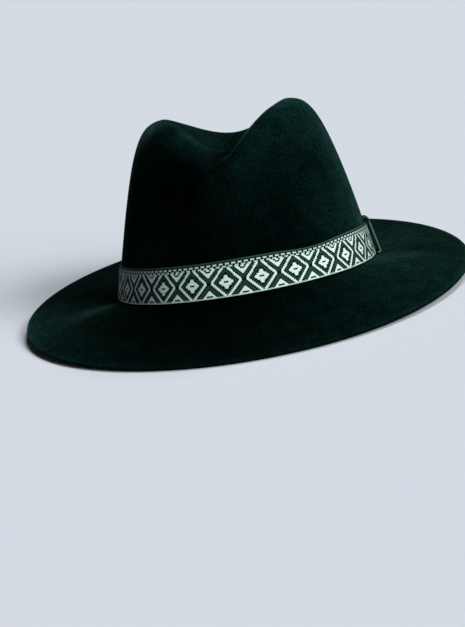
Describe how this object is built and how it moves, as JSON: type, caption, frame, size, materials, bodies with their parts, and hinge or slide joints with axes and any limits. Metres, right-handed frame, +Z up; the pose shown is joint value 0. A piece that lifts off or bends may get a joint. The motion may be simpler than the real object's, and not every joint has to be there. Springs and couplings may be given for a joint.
{
  "type": "felt fedora hat",
  "caption": "Pinch-front felt hat with a creased crown, a turned-down front brim and a patterned ribbon band held by a keeper loop.",
  "frame": {"origin": "middle of the hat's footprint, on the plane that it rests on", "axes": "+Z up with the hat lying on its brim, -Y towards the front of the hat, +X towards the wearer's left"},
  "size_m": [0.2958, 0.324, 0.1225],
  "materials": {
    "felt_body": "matte wool felt, very dark green",
    "hat_band": "woven ribbon in dark green and off-white",
    "band_keeper": "folded ribbon tape"
  },
  "bodies": {
    "root": {"felt_body": "felt_body", "hat_band": "hat_band", "band_keeper": "band_keeper"}
  },
  "joints": []
}
